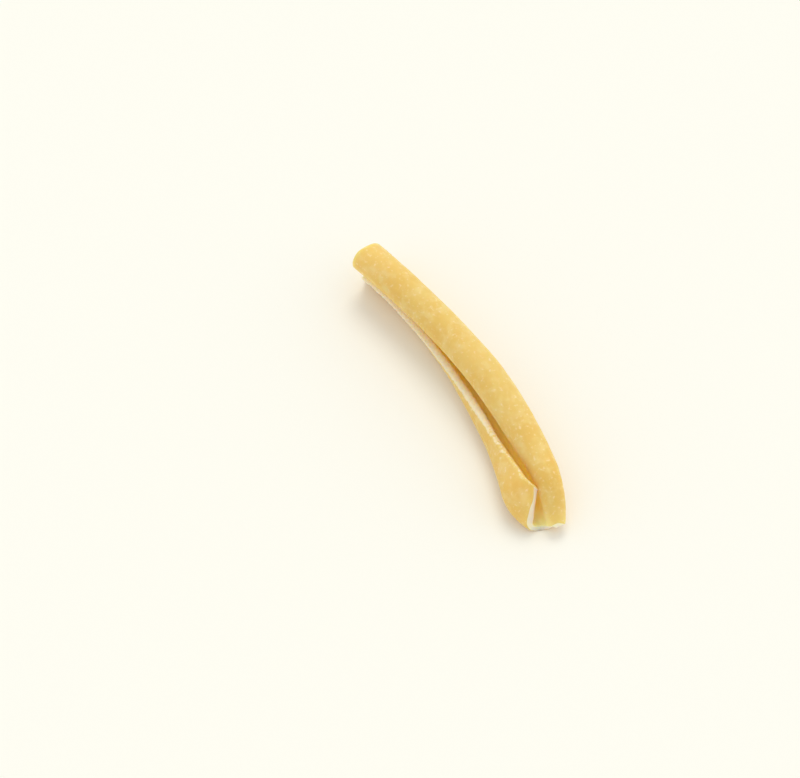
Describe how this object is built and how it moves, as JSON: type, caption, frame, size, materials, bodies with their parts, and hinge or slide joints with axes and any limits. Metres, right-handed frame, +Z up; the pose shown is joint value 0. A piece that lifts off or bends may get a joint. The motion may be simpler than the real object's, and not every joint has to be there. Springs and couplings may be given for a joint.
{
  "type": "caserecce",
  "caption": "Short dried pasta piece: one dough sheet rolled in from both edges to an S-shaped section, gently bent and twisted, with a flared, pinched near end",
  "frame": {"origin": "centre of the bottom of the bounding box; the floor is z = 0", "axes": "+X along the piece towards its flared near end, +Y to the side of the roll without a seam, +Z up as it lies"},
  "size_m": [0.0496, 0.0102, 0.0084],
  "materials": {
    "dried_pasta": "dry, slightly floury durum wheat dough, pale gold, dull"
  },
  "bodies": {
    "root": {"caserecce": "dried_pasta"}
  },
  "joints": []
}
